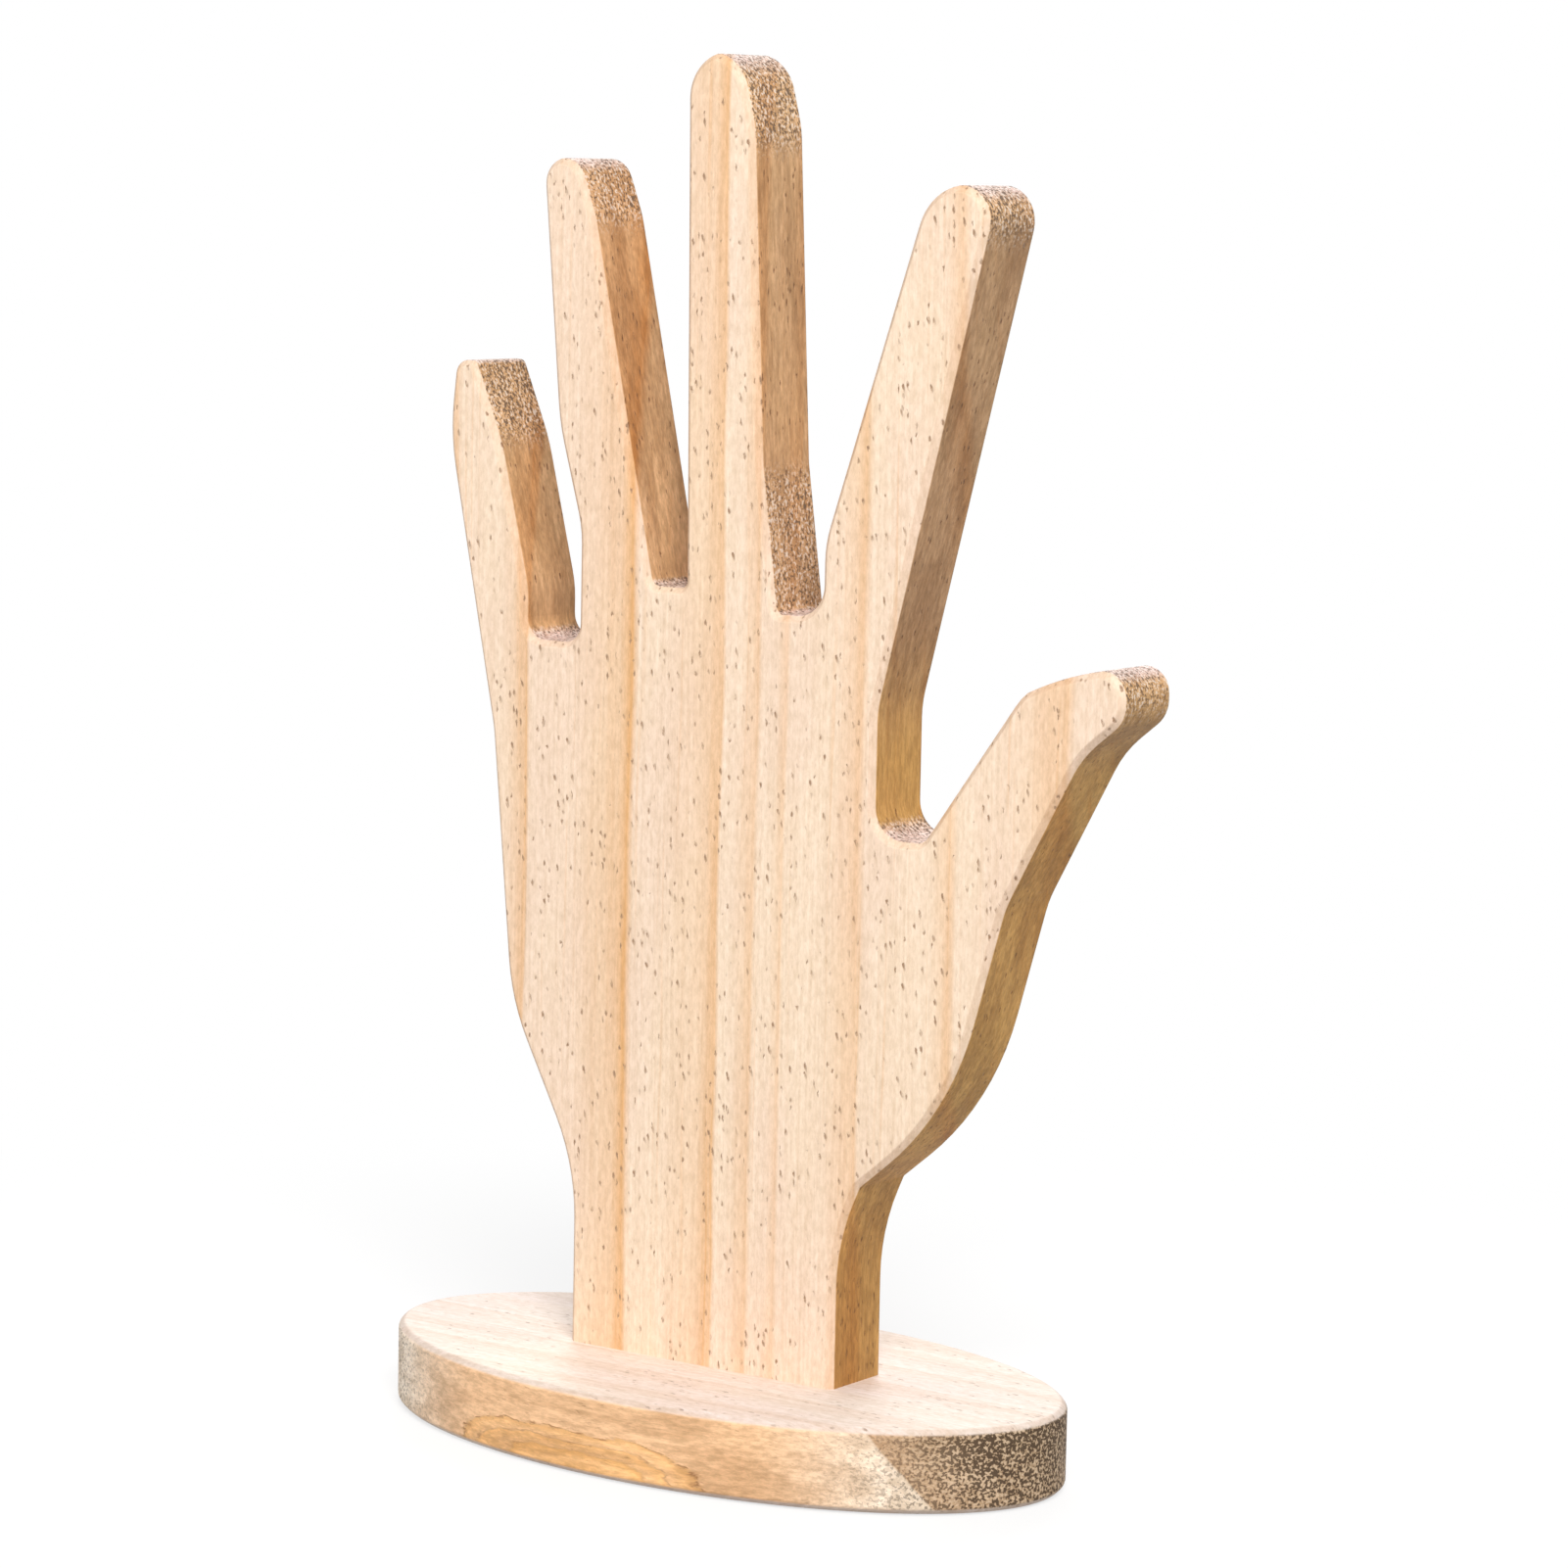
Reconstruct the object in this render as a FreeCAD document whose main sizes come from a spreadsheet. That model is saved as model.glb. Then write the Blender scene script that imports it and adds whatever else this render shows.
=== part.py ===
import FreeCAD, Part
import math
import os
import Sketcher
from FreeCAD import Vector

# A flat wooden hand on an oval foot, a stand for rings and bracelets, in millimetres.
# X runs across the palm with the thumb at +X, the lit face looks along -Y, and Z is up from the
# middle of the underside. Heights on the hand are measured from the sawn end of its wrist.

sizes = {
    # Oval base, sawn from one board
    "base_length": 140.0,
    "base_width": 75.0,
    "base_thickness": 15.0,
    "base_chamfer": 1.0,
    # Board that the hand is sawn from
    "board_thickness": 16.0,
    "board_chamfer": 1.1,
    # Wrist and the little finger's side of the palm
    "wrist_width": 58.8,
    "wrist_height": 32.5,
    "heel_height": 61.5,
    "heel_flare": 15.3,
    "palm_height": 111.6,
    "palm_flare": 4.9,
    "knuckle_height": 165.3,
    "knuckle_flare": 11.1,
    "bend_round": 40.0,
    # Roots of the fingers and the gaps between them, side by side across the palm
    "little_flare": 4.1,
    "little_root": 11.8,
    "little_ring_gap": 12.0,
    "ring_root": 16.3,
    "ring_middle_gap": 7.6,
    "middle_root": 19.8,
    "middle_index_gap": 9.9,
    "index_root": 11.9,
    "index_thumb_gap": 10.2,
    # Heights of the gaps' floors
    "little_ring_crotch": 128.7,
    "ring_middle_crotch": 140.2,
    "middle_index_crotch": 136.9,
    "index_thumb_crotch": 99.2,
    # Each finger's height, the width of its tip and how far the tip leans aside. The little finger's
    # height is its rise above the bend in its outer side
    "little_rise": 13.4,
    "little_tip": 4.6,
    "little_lean": 9.1,
    "ring_height": 215.7,
    "ring_tip": 8.1,
    "ring_lean": 13.8,
    "middle_height": 234.6,
    "middle_tip": 11.2,
    "middle_lean": 5.7,
    "index_height": 212.5,
    "index_tip": 14.0,
    "index_lean": 21.6,
    # Thumb, its blunt end, and the notch where the ball of the thumb meets the wrist
    "thumb_reach": 56.6,
    "thumb_height": 133.0,
    "thumb_end": 9.3,
    "notch_depth": 4.6,
    "notch_height": 37.0,
    "notch_round": 1.4,
    # Countersunk wood screws and their holes
    "screw_length": 35.0,
    "screw_diameter": 4.0,
    "screw_head": 8.0,
    "screw_spacing": 32.0,
    "screw_sink": 0.5,
    "recess_depth": 2.2,
    "recess_length": 4.4,
    "recess_width": 1.0,
    "shank_clearance": 0.25,
    "thread_fit": 0.05,
    "drill_over": 3.0,
}

# Height of each fingertip above the wrist's sawn end
finger_heights = {
    "little": "Sizes.knuckle_height + Sizes.little_rise",
    "ring": "Sizes.ring_height",
    "middle": "Sizes.middle_height",
    "index": "Sizes.index_height",
}
# Rounding of each fingertip's left and right corner, as shares of the tip's width
tip_round_shares = {
    "little": (0.60, 0.31),
    "ring": (0.42, 0.42),
    "middle": (0.55, 0.30),
    "index": (0.55, 0.26),
}
# Bends in a finger's left and right side: how far up the finger from the gap on that side, how far
# across its root from the root's left end, and the rounding as a share of bend_round
left_bend_shares = {
    "ring": [(0.238, 0, 0.5), (0.453, -0.329, 1)],
    "index": [(0.172, 0, 0.5)],
}
right_bend_shares = {
    "little": [(0.712, 0.439, 1), (0.181, 1, 0.5)],
    "ring": [(0.865, 0.136, 0.5)],
    "middle": [(0.868, 0.666, 0.5), (0.266, 0.818, 1)],
    "index": [(0.199, 1, 0.5)],
}
# Rounding at the left and right end of each gap's floor, as shares of the gap's width
crotch_round_shares = {
    "little_ring": (0.32, 0.28),
    "ring_middle": (0.28, 0.17),
    "middle_index": (0.15, 0.57),
    "index_thumb": (0.55, 0.27),
}
# Corners of the thumb, as shares of its reach past the wrist, of its height and of bend_round
thumb_shares = {
    "thumb_shoulder": (0.675, 0.976, 0.4),
    "thumb_pad": (0.850, 0.878, 0.5),
    "thumb_joint": (0.594, 0.674, 0.5),
    "thumb_heel": (0.408, 0.393, 1.35),
}
thumb_end_round_shares = (0.28, 0.60)
wrist_right_share = 0.716
side_share = 0.95
screw_tip_share = 1.2
fitted_slack = 1e-4
head_angle = 90


def make_sheet(doc):
    sheet = doc.addObject("Spreadsheet::Sheet", "Sizes")
    for row, (name, size) in enumerate(sizes.items(), 1):
        sheet.set(f"A{row}", name)
        sheet.set(f"B{row}", str(size))
        sheet.setAlias(f"B{row}", name)
    doc.recompute()
    return sheet


def value(sheet, expression):
    return float(sheet.evalExpression(expression))


def make_body(doc, name):
    body = doc.addObject("PartDesign::Body", name)
    body.Label = name
    return body


def make_sketch(body, name, role):
    sketch = body.newObject("Sketcher::SketchObject", name)
    plane = next(item for item in body.Origin.OriginFeatures if item.Role == role)
    sketch.AttachmentSupport = [(plane, "")]
    sketch.MapMode = "FlatFace"
    return sketch


# A dimension for a sketch: its name, its expression in the sheet's sizes, its kind and its ends.
def dimension(name, expression, kind, *ends):
    return name, expression, kind, ends


# A dimension along one axis, taken the other way round where it would be negative.
def signed_dimension(sheet, name, expression, kind, start, end):
    if value(sheet, expression) > 0:
        return dimension(name, expression, kind, *start, *end)
    return dimension(name, f"-({expression})", kind, *end, *start)


# Adds the plain constraints and the dimensions together, so that the sketch is solved only once.
def constrain(sketch, plain, dimensions):
    sheet = sketch.Document.Sizes
    sized = [Sketcher.Constraint(kind, *ends, value(sheet, expression))
             for name, expression, kind, ends in dimensions]
    added = sketch.addConstraint(plain + sized)
    for index, (name, expression, kind, ends) in zip(added[len(plain):], dimensions):
        sketch.renameConstraint(index, name)
        sketch.setExpression(f"Constraints.{name}", expression)


# Joins each line of a closed chain to the end of the line before it.
def closed(lines):
    pairs = zip(lines, lines[-1:] + lines[:-1])
    return [Sketcher.Constraint("Coincident", line, 1, before, 2) for line, before in pairs]


# A corner of the outline: its name, the corner that its place across is measured from (None is the
# middle of the wrist), the distance from there, its height and its rounding (None is sharp).
def wrist_end():
    return [
        ("foot_right", None, "Sizes.wrist_width / 2", None, None),
        ("foot_left", None, "-Sizes.wrist_width / 2", None, None),
    ]


def little_finger_side():
    return [
        ("wrist_left", "foot_left", None, "Sizes.wrist_height", "Sizes.bend_round"),
        ("heel_left", "wrist_left", "-Sizes.heel_flare", "Sizes.heel_height", "Sizes.bend_round"),
        ("palm_left", "heel_left", "-Sizes.palm_flare", "Sizes.palm_height", "Sizes.bend_round"),
        ("knuckle_left", "palm_left", "-Sizes.knuckle_flare", "Sizes.knuckle_height", "Sizes.bend_round"),
    ]


# The bends in one side of a finger. The finger's places across are measured from its start, which
# is the left end of its root, or a corner that lies a known shift away from there.
def bends(name, side, start, shift, crotch, shares):
    corners = []
    for number, (up_share, across_share, round_share) in enumerate(shares, 1):
        corner = f"{name}_{side}_bend_{number}"
        across = f"{shift}Sizes.{name}_root * {across_share}" if shift or across_share else None
        height = f"Sizes.{crotch}_crotch * {round(1 - up_share, 3)} + ({finger_heights[name]}) * {up_share}"
        corners.append((corner, start, across, height, f"Sizes.bend_round * {round_share}"))
    return corners


def finger(name, left_crotch, right_crotch, start, shift="", lean_sign="-"):
    size = f"Sizes.{name}"
    height = finger_heights[name]
    left_share, right_share = tip_round_shares[name]
    across = f"{shift}({size}_root - {size}_tip) / 2 {lean_sign} {size}_lean"
    tip_left = (f"{name}_tip_left", start, across, height, f"{size}_tip * {left_share}")
    tip_right = (f"{name}_tip_right", tip_left[0], f"{size}_tip", height, f"{size}_tip * {right_share}")
    root_right = (f"{name}_right", start, f"{shift}{size}_root", f"Sizes.{right_crotch}_crotch",
                  f"Sizes.{right_crotch}_gap * {crotch_round_shares[right_crotch][0]}")
    left_bends = bends(name, "left", start, shift, left_crotch, left_bend_shares.get(name, []))
    right_bends = bends(name, "right", start, shift, right_crotch, right_bend_shares[name])
    return left_bends + [tip_left, tip_right] + right_bends + [root_right]


# The right end of a gap's floor, where the next finger begins.
def across_gap(left, right):
    gap = f"Sizes.{left}_{right}_gap"
    share = crotch_round_shares[f"{left}_{right}"][1]
    return [(f"{right}_left", f"{left}_right", gap, f"Sizes.{left}_{right}_crotch", f"{gap} * {share}")]


def thumb_corner(name):
    reach_share, height_share, round_share = thumb_shares[name]
    across = f"Sizes.thumb_reach * {reach_share}"
    height = f"Sizes.thumb_height * {height_share}"
    return name, "foot_right", across, height, f"Sizes.bend_round * {round_share}"


def thumb_side():
    top_share, under_share = thumb_end_round_shares
    return [
        thumb_corner("thumb_shoulder"),
        ("thumb_tip", "foot_right", "Sizes.thumb_reach", "Sizes.thumb_height",
         f"Sizes.thumb_end * {top_share}"),
        ("thumb_under", "thumb_tip", None, "Sizes.thumb_height - Sizes.thumb_end",
         f"Sizes.thumb_end * {under_share}"),
        thumb_corner("thumb_pad"),
        thumb_corner("thumb_joint"),
        thumb_corner("thumb_heel"),
        ("notch", "foot_right", "Sizes.notch_depth", "Sizes.notch_height", "Sizes.notch_round"),
        ("wrist_right", "foot_right", None, f"Sizes.notch_height * {wrist_right_share}", "Sizes.bend_round"),
    ]


def hand_corners():
    return (
        wrist_end()
        + little_finger_side()
        + finger("little", "little_ring", "little_ring", "palm_left", shift="-Sizes.little_flare + ")
        + across_gap("little", "ring")
        + finger("ring", "little_ring", "ring_middle", "ring_left")
        + across_gap("ring", "middle")
        + finger("middle", "ring_middle", "middle_index", "middle_left")
        + across_gap("middle", "index")
        + finger("index", "middle_index", "index_thumb", "index_left", lean_sign="+")
        + across_gap("index", "thumb")
        + thumb_side()
    )


def corner_places(sheet, corners):
    places = {}
    for name, start, across, height, rounding in corners:
        x = places[start].x if start else 0
        if across:
            x += value(sheet, across)
        places[name] = Vector(x, value(sheet, height) if height else 0, 0)
    return places


# Draws the closed outline with sharp corners. Each corner carries the dimensions of its place.
def draw_outline(sketch, corners):
    sheet = sketch.Document.Sizes
    names = [corner[0] for corner in corners]
    points = list(corner_places(sheet, corners).values())
    lines = sketch.addGeometry([Part.LineSegment(a, b) for a, b in zip(points, points[1:] + points[:1])])
    plain, dimensions = closed(lines), []
    for line, (name, start, across, height, rounding) in zip(lines, corners):
        origin = (lines[names.index(start)], 1) if start else (-1, 1)
        if across:
            ends = origin, (line, 1)
            dimensions.append(signed_dimension(sheet, f"{name}_across", across, "DistanceX", *ends))
        else:
            plain.append(Sketcher.Constraint("Vertical", *origin, line, 1))
        if height:
            dimensions.append(dimension(f"{name}_height", height, "DistanceY", -1, 1, line, 1))
        else:
            plain.append(Sketcher.Constraint("PointOnObject", line, 1, -1))
    constrain(sketch, plain, dimensions)


# The rounding of each corner. Where the roundings at a side's two ends wouldn't fit on the side
# together, they shrink until they do.
def fitted_roundings(sheet, corners, places):
    points = list(places.values())
    ways = [after - point for point, after in zip(points, points[1:] + points[:1])]
    reaches = []
    for number, corner in enumerate(corners):
        radius = value(sheet, corner[4]) if corner[4] else 0
        reaches.append(radius * math.tan(ways[number - 1].getAngle(ways[number]) / 2))
    needs = [reach + after for reach, after in zip(reaches, reaches[1:] + reaches[:1])]
    room = [way.Length * side_share / max(need, fitted_slack) for way, need in zip(ways, needs)]
    fitted = {}
    for number, (name, start, across, height, rounding) in enumerate(corners):
        share = min(1, room[number - 1], room[number])
        if rounding:
            fitted[name] = rounding if share == 1 else f"{rounding} * {share}"
    return fitted


# Rounds the outline's corners on the solid, those with the same rounding in one feature.
def round_corners(body, source, corners):
    sheet = body.Document.Sizes
    places = corner_places(sheet, corners)
    spots = {}
    for name, rounding in fitted_roundings(sheet, corners, places).items():
        spots.setdefault(rounding, []).append(places[name])
    for number, (rounding, points) in enumerate(spots.items(), 1):
        wanted = edge_names(source.Shape, lambda box: upright_at(box, points))
        source = dress_edges(body, f"CornerRound{number}", "Fillet", source, wanted, rounding)
        body.Document.recompute()
    return source


def upright_at(box, points):
    if max(box.XLength, box.ZLength) > fitted_slack:
        return False
    middle = Vector(box.Center.x, box.Center.z, 0)
    return any(middle.distanceToPoint(point) < fitted_slack for point in points)


def edge_names(shape, wanted):
    return [f"Edge{number}" for number, edge in enumerate(shape.Edges, 1) if wanted(edge.BoundBox)]


# Rounds (Fillet) or eases (Chamfer) the named edges.
def dress_edges(body, name, kind, source, edges, size):
    dressed = body.newObject(f"PartDesign::{kind}", name)
    dressed.Base = (source, edges)
    dressed.setExpression("Radius" if kind == "Fillet" else "Size", size)
    return dressed


# Two drilled holes side by side under the wrist, from the body's own lower face upwards.
def drill_sketch(body, name, diameter):
    sketch = make_sketch(body, name, "XY_Plane")
    sheet = body.Document.Sizes
    half = value(sheet, "Sizes.screw_spacing / 2")
    radius = value(sheet, diameter) / 2
    plain, dimensions = [], []
    for side, x in (("right", half), ("left", -half)):
        circle = sketch.addGeometry(Part.Circle(Vector(x, 0, 0), Vector(0, 0, 1), radius))
        plain.append(Sketcher.Constraint("PointOnObject", circle, 3, -1))
        dimensions.append(dimension(f"{side}_diameter", diameter, "Diameter", circle))
        ends = (-1, 1, circle, 3) if x > 0 else (circle, 3, -1, 1)
        dimensions.append(dimension(f"{side}_place", "Sizes.screw_spacing / 2", "DistanceX", *ends))
    constrain(sketch, plain, dimensions)
    return sketch


def drill(body, name, sketch, diameter):
    body.Document.recompute()
    hole = body.newObject("PartDesign::Hole", name)
    hole.Profile = sketch
    hole.Reversed = True
    body.Document.recompute()
    hole.setExpression("Diameter", diameter)
    return hole


def make_base(doc):
    body = make_body(doc, "oval_base")
    sketch = make_sketch(body, "OvalOutline", "XY_Plane")
    long_half = value(doc.Sizes, "Sizes.base_length / 2")
    short_half = value(doc.Sizes, "Sizes.base_width / 2")
    oval = sketch.addGeometry(Part.Ellipse(Vector(0, 0, 0), long_half, short_half))
    sketch.exposeInternalGeometry(oval)
    long_axis, short_axis = oval + 1, oval + 2
    plain = [Sketcher.Constraint("Coincident", oval, 3, -1, 1), Sketcher.Constraint("Horizontal", long_axis)]
    constrain(sketch, plain, [
        dimension("length", "Sizes.base_length", "Distance", long_axis),
        dimension("width", "Sizes.base_width", "Distance", short_axis),
    ])
    pad = body.newObject("PartDesign::Pad", "OvalPad")
    pad.Profile = sketch
    pad.setExpression("Length", "Sizes.base_thickness")
    doc.recompute()
    rims = edge_names(pad.Shape, lambda box: box.ZLength < fitted_slack)
    rim = dress_edges(body, "RimChamfer", "Chamfer", pad, rims, "Sizes.base_chamfer")
    holes = drill_sketch(body, "ScrewPlaces", "Sizes.screw_diameter + 2 * Sizes.shank_clearance")
    hole = drill(body, "ScrewHoles", holes, "Sizes.screw_diameter + 2 * Sizes.shank_clearance")
    hole.DepthType = "ThroughAll"
    hole.HoleCutType = "Countersink"
    hole.HoleCutCustomValues = True
    hole.HoleCutCountersinkAngle = head_angle
    hole.setExpression("HoleCutDiameter", "Sizes.screw_head + 2 * Sizes.screw_sink")
    doc.recompute()
    check_cut(hole, rim)
    return body


def make_hand(doc):
    body = make_body(doc, "hand_board")
    body.setExpression("Placement.Base.z", "Sizes.base_thickness")
    sketch = make_sketch(body, "HandOutline", "XZ_Plane")
    corners = hand_corners()
    draw_outline(sketch, corners)
    doc.recompute()
    pad = body.newObject("PartDesign::Pad", "HandPad")
    pad.Profile = sketch
    pad.SideType = "Symmetric"
    pad.setExpression("Length", "Sizes.board_thickness")
    doc.recompute()
    rounded = round_corners(body, pad, corners)
    sawn = edge_names(rounded.Shape, lambda box: box.YLength < fitted_slack and box.ZMax > fitted_slack)
    eased = dress_edges(body, "EdgeChamfer", "Chamfer", rounded, sawn, "Sizes.board_chamfer")
    holes = drill_sketch(body, "PilotPlaces", "Sizes.screw_diameter + 2 * Sizes.thread_fit")
    hole = drill(body, "PilotHoles", holes, "Sizes.screw_diameter + 2 * Sizes.thread_fit")
    hole.DepthType = "Dimension"
    reach = "Sizes.screw_sink + Sizes.screw_length - Sizes.base_thickness"
    hole.setExpression("Depth", f"{reach} + Sizes.drill_over")
    doc.recompute()
    check_cut(hole, eased)
    return body


def check_cut(hole, before):
    if hole.Shape.Volume >= before.Shape.Volume:
        raise RuntimeError(f"{hole.Label} cuts nothing")


# Half the section of one screw, turned about its own upright axis: flat head, cone, shank and point.
def screw_profile(body):
    sheet = body.Document.Sizes
    sketch = make_sketch(body, "ScrewSection", "XZ_Plane")
    axis = value(sheet, "Sizes.screw_spacing / 2")
    head = value(sheet, "Sizes.screw_head / 2")
    shank = value(sheet, "Sizes.screw_diameter / 2")
    low = value(sheet, "Sizes.screw_sink")
    high = low + value(sheet, "Sizes.screw_length")
    neck = low + head - shank
    point = high - screw_tip_share * 2 * shank
    rim = [(0, low), (head, low), (shank, neck), (shank, point), (0, high)]
    places = [Vector(axis + x, z, 0) for x, z in rim]
    lines = sketch.addGeometry([Part.LineSegment(a, b) for a, b in zip(places, places[1:] + places[:1])])
    under, cone, side, tip, centre = lines
    plain = closed(lines)
    plain.append(Sketcher.Constraint("Horizontal", under))
    plain.append(Sketcher.Constraint("Vertical", side))
    plain.append(Sketcher.Constraint("Vertical", centre))
    constrain(sketch, plain, [
        dimension("axis", "Sizes.screw_spacing / 2", "DistanceX", -1, 1, under, 1),
        dimension("sink", "Sizes.screw_sink", "DistanceY", -1, 1, under, 1),
        dimension("head", "Sizes.screw_head / 2", "DistanceX", under, 1, under, 2),
        dimension("shank", "Sizes.screw_diameter / 2", "DistanceX", under, 1, side, 1),
        dimension("cone", "(Sizes.screw_head - Sizes.screw_diameter) / 2", "DistanceY", cone, 1, cone, 2),
        dimension("length", "Sizes.screw_length", "DistanceY", under, 1, tip, 2),
        dimension("point", f"Sizes.screw_diameter * {screw_tip_share}", "DistanceY", tip, 1, tip, 2),
    ])
    return sketch, centre


# One slot of the cross recess in the screw's head, cut upwards from the head's flat face.
def recess_slot(body, name, length, width):
    sheet = body.Document.Sizes
    sketch = make_sketch(body, name, "XY_Plane")
    sketch.setExpression("AttachmentOffset.Base.x", "Sizes.screw_spacing / 2")
    sketch.setExpression("AttachmentOffset.Base.z", "Sizes.screw_sink")
    x, y = value(sheet, length) / 2, value(sheet, width) / 2
    places = [Vector(*spot, 0) for spot in ((-x, -y), (x, -y), (x, y), (-x, y))]
    lines = sketch.addGeometry([Part.LineSegment(a, b) for a, b in zip(places, places[1:] + places[:1])])
    plain = closed(lines)
    plain += [Sketcher.Constraint("Horizontal", line) for line in lines[0::2]]
    plain += [Sketcher.Constraint("Vertical", line) for line in lines[1::2]]
    plain.append(Sketcher.Constraint("Symmetric", lines[0], 1, lines[2], 1, -1, 1))
    constrain(sketch, plain, [
        dimension("length", length, "DistanceX", lines[0], 1, lines[0], 2),
        dimension("width", width, "DistanceY", lines[1], 1, lines[1], 2),
    ])
    body.Document.recompute()
    slot = body.newObject("PartDesign::Pocket", f"{name}Cut")
    slot.Profile = sketch
    slot.Reversed = True
    slot.setExpression("Length", "Sizes.recess_depth")
    return slot


def make_screws(doc):
    body = make_body(doc, "base_screws")
    body.AllowCompound = True
    section, axis = screw_profile(body)
    doc.recompute()
    screw = body.newObject("PartDesign::Revolution", "Screw")
    screw.Profile = section
    screw.ReferenceAxis = (section, [f"Edge{axis + 1}"])
    doc.recompute()
    slots = [
        recess_slot(body, "RecessAcross", "Sizes.recess_length", "Sizes.recess_width"),
        recess_slot(body, "RecessAlong", "Sizes.recess_width", "Sizes.recess_length"),
    ]
    doc.recompute()
    check_cut(slots[-1], screw)
    pair = body.newObject("PartDesign::Mirrored", "ScrewPair")
    pair.Originals = [screw] + slots
    plane = next(item for item in body.Origin.OriginFeatures if item.Role == "YZ_Plane")
    pair.MirrorPlane = (plane, [""])
    body.Tip = pair
    return body


def check(doc, bodies):
    for item in doc.Objects:
        if "Invalid" in item.State or "Error" in item.State:
            raise RuntimeError(f"{item.Label} failed: {item.State}")
        if item.TypeId == "Sketcher::SketchObject" and item.solve() != 0:
            raise RuntimeError(f"{item.Label} doesn't solve")
    for body in bodies:
        if body.Shape.isNull() or not body.Shape.isValid():
            raise RuntimeError(f"{body.Label} has no valid shape")


def main():
    doc = FreeCAD.newDocument("wooden_hand")
    make_sheet(doc)
    bodies = [make_base(doc), make_hand(doc), make_screws(doc)]
    doc.recompute()
    check(doc, bodies)
    os.makedirs("parts", exist_ok=True)
    for body in bodies:
        body.Shape.exportStep(f"parts/{body.Label}.step")
        box = body.Shape.BoundBox
        print(body.Label, len(body.Shape.Solids), "solids", round(body.Shape.Volume), "mm3",
              "x", round(box.XMin, 1), round(box.XMax, 1), "y", round(box.YMin, 1), round(box.YMax, 1),
              "z", round(box.ZMin, 1), round(box.ZMax, 1))


main()
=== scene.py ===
import math

import bmesh
import bpy
from mathutils import Matrix, Vector


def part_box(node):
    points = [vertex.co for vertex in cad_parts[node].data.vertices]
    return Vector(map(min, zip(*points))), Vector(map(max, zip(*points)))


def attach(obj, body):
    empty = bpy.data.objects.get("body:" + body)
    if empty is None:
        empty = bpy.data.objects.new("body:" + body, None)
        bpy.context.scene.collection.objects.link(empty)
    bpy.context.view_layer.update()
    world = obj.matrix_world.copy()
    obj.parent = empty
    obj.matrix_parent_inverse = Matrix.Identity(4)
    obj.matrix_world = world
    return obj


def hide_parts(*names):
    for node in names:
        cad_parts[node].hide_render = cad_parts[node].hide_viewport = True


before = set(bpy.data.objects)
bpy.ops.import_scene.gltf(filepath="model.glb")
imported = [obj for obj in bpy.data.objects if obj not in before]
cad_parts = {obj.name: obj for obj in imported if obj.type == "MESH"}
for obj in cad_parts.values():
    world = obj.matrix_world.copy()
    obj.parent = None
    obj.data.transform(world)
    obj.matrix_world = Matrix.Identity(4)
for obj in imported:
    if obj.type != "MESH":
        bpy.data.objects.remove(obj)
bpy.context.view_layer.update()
print("frame loaded:", ", ".join(sorted(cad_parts)))

perMetre = 1000                     # millimetres in the frame's unit


# A number that varies over a surface. Python's operators add its Math nodes.
class Shade:
    def __init__(self, look, socket):
        self.look = look
        self.socket = socket

    def math(self, operation, *values):
        return self.look.node("ShaderNodeMath", {"operation": operation}, dict(enumerate(values)))

    def __add__(self, other):
        return self.math("ADD", self, other)

    def __sub__(self, other):
        return self.math("SUBTRACT", self, other)

    def __rsub__(self, other):
        return self.math("SUBTRACT", other, self)

    def __mul__(self, other):
        return self.math("MULTIPLY", self, other)

    def __pow__(self, other):
        return self.math("POWER", self, other)

    def __gt__(self, other):
        return self.math("GREATER_THAN", self, other)

    def __abs__(self):
        return self.math("ABSOLUTE", self)

    __radd__ = __add__
    __rmul__ = __mul__

    # 0 below the low value and 1 above the high one, with a soft step between
    def step(self, low, high):
        settings = {"interpolation_type": "SMOOTHSTEP"}
        limits = {"Value": self, "From Min": low, "From Max": high}
        return self.look.node("ShaderNodeMapRange", settings, limits)


# The distance that some shades span when each runs along its own axis
def span(parts):
    return sum(part * part for part in parts) ** 0.5


# A colour Mix node has sockets of one name for several kinds of value, so they go by number
mixSockets = {"factor": 0, "first": 6, "second": 7, "result": 2}


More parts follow.
